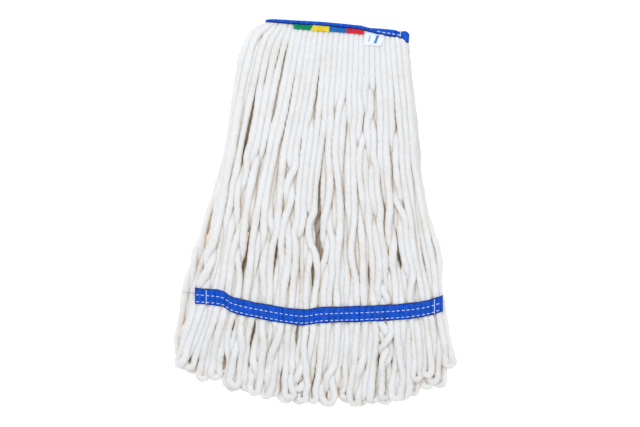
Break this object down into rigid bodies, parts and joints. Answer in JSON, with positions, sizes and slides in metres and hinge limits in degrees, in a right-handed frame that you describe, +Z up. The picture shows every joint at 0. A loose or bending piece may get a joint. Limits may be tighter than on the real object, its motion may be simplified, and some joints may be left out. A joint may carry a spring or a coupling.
{
  "type": "string mop head",
  "caption": "Looped-end string mop head: yarn folded at a clamp-width headband, held by a sewn tail band on each side, with colour tabs.",
  "frame": {"origin": "middle of the headband's spine face, at mid width and mid thickness", "axes": "+X along the headband to the end beside the care label, +Y out of the spine towards the handle's jaw, +Z up out of the upper layer of yarn as the head lies flat"},
  "size_m": [0.312, 0.425, 0.0272],
  "materials": {
    "yarn": "matte",
    "webbing_blue": "matte",
    "thread_white": "matte",
    "tab_green": "satin",
    "tab_yellow": "satin",
    "tab_blue": "satin",
    "tab_red": "satin",
    "label_white": "satin"
  },
  "bodies": {
    "headband": {"headband": "webbing_blue", "yarn_bight": "yarn", "band_inner_tape": "webbing_blue", "headband_upper_seam": "thread_white", "headband_lower_seam": "thread_white", "headband_left_tack": "thread_white", "headband_right_tack": "thread_white"},
    "front_curtain": {"front_lock_1": "yarn", "front_lock_2": "yarn", "front_lock_3": "yarn", "front_lock_4": "yarn", "front_lock_5": "yarn", "front_lock_6": "yarn", "front_lock_7": "yarn", "front_lock_8": "yarn", "front_lock_9": "yarn", "front_tail_outer_tape": "webbing_blue", "front_tail_inner_tape": "webbing_blue", "front_tail_upper_seam": "thread_white", "front_tail_lower_seam": "thread_white", "front_tail_left_tack": "thread_white", "front_tail_right_tack": "thread_white"},
    "front_fringe": {"front_loops_1": "yarn", "front_loops_2": "yarn", "front_loops_3": "yarn", "front_loops_4": "yarn", "front_loops_5": "yarn", "front_loops_6": "yarn", "front_loops_7": "yarn", "front_loops_8": "yarn", "front_loops_9": "yarn"},
    "back_curtain": {"back_lock_1": "yarn", "back_lock_2": "yarn", "back_lock_3": "yarn", "back_lock_4": "yarn", "back_lock_5": "yarn", "back_lock_6": "yarn", "back_tail_outer_tape": "webbing_blue", "back_tail_inner_tape": "webbing_blue", "back_tail_upper_seam": "thread_white", "back_tail_lower_seam": "thread_white", "back_tail_left_tack": "thread_white", "back_tail_right_tack": "thread_white"},
    "back_fringe": {"back_loops_1": "yarn", "back_loops_2": "yarn", "back_loops_3": "yarn", "back_loops_4": "yarn", "back_loops_5": "yarn", "back_loops_6": "yarn"},
    "green_tab": {"green_tab": "tab_green"},
    "yellow_tab": {"yellow_tab": "tab_yellow"},
    "blue_tab": {"blue_tab": "tab_blue"},
    "red_tab": {"red_tab": "tab_red"},
    "care_label": {"care_label": "label_white"}
  },
  "joints": [
    {"name": "front_curtain_fold", "type": "hinge", "parent": "headband", "child": "front_curtain", "pos_m": [0, -0.00635, 0.0137], "axis": [-1, 0, 0], "range_deg": [0, 90]},
    {"name": "back_curtain_fold", "type": "hinge", "parent": "headband", "child": "back_curtain", "pos_m": [0, -0.00635, -0.0137], "axis": [1, 0, 0], "range_deg": [0, 90]},
    {"name": "front_fringe_flop", "type": "hinge", "parent": "front_curtain", "child": "front_fringe", "pos_m": [0, -0.336, 0.0137], "axis": [-1, 0, 0], "range_deg": [0, 140]},
    {"name": "back_fringe_flop", "type": "hinge", "parent": "back_curtain", "child": "back_fringe", "pos_m": [0, -0.336, -0.0137], "axis": [1, 0, 0], "range_deg": [0, 140]},
    {"name": "green_tab_flip", "type": "hinge", "parent": "front_curtain", "child": "green_tab", "pos_m": [0, -0.00635, 0.0137], "axis": [-1, 0, 0], "range_deg": [0, 90]},
    {"name": "yellow_tab_flip", "type": "hinge", "parent": "front_curtain", "child": "yellow_tab", "pos_m": [0, -0.00635, 0.0137], "axis": [-1, 0, 0], "range_deg": [0, 90]},
    {"name": "blue_tab_flip", "type": "hinge", "parent": "front_curtain", "child": "blue_tab", "pos_m": [0, -0.00635, 0.0137], "axis": [-1, 0, 0], "range_deg": [0, 90]},
    {"name": "red_tab_flip", "type": "hinge", "parent": "front_curtain", "child": "red_tab", "pos_m": [0, -0.00635, 0.0137], "axis": [-1, 0, 0], "range_deg": [0, 90]},
    {"name": "care_label_flip", "type": "hinge", "parent": "front_curtain", "child": "care_label", "pos_m": [0, -0.00635, 0.0137], "axis": [-1, 0, 0], "range_deg": [0, 90]}
  ]
}
